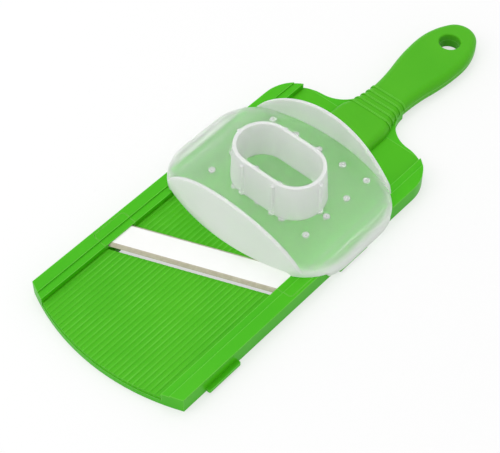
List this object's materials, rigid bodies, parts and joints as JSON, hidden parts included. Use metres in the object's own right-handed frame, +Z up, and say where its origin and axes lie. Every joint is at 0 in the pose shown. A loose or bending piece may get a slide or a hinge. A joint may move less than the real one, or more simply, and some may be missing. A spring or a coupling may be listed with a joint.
{
  "type": "mandoline slicer",
  "caption": "Hand-held vegetable slicer with stepped rails, a slanted white ceramic blade between ribbed plates, a ringed handle with a hanging hole, and a sliding translucent finger guard",
  "frame": {"origin": "Middle of the whole slicer at table height", "axes": "+Y along the slicer towards the handle, +Z up away from the table, +X across to the right seen from the front end"},
  "size_m": [0.1006, 0.2658, 0.0327],
  "materials": {
    "frame_green": "moulded green plastic, satin gloss",
    "plate_green": "moulded green plastic with fine ribs",
    "handle_green": "moulded green plastic, satin",
    "blade_white": "polished white ceramic",
    "guard_clear": "translucent natural plastic",
    "screw_steel": "plain steel"
  },
  "bodies": {
    "slicer": {"frame": "frame_green", "ramp_plate": "plate_green", "deck_plate": "plate_green", "blade": "blade_white", "blade_cap_left": "frame_green", "blade_cap_right": "frame_green", "grip_upper": "handle_green", "grip_lower": "handle_green", "grip_screws": "screw_steel"},
    "guard": {"guard_tray": "guard_clear", "finger_ring": "guard_clear", "spikes": "guard_clear"}
  },
  "joints": [
    {"name": "guard_slide", "type": "slide", "parent": "slicer", "child": "guard", "axis": [0, 1, 0], "range_m": [-0.075, 0.01]}
  ]
}
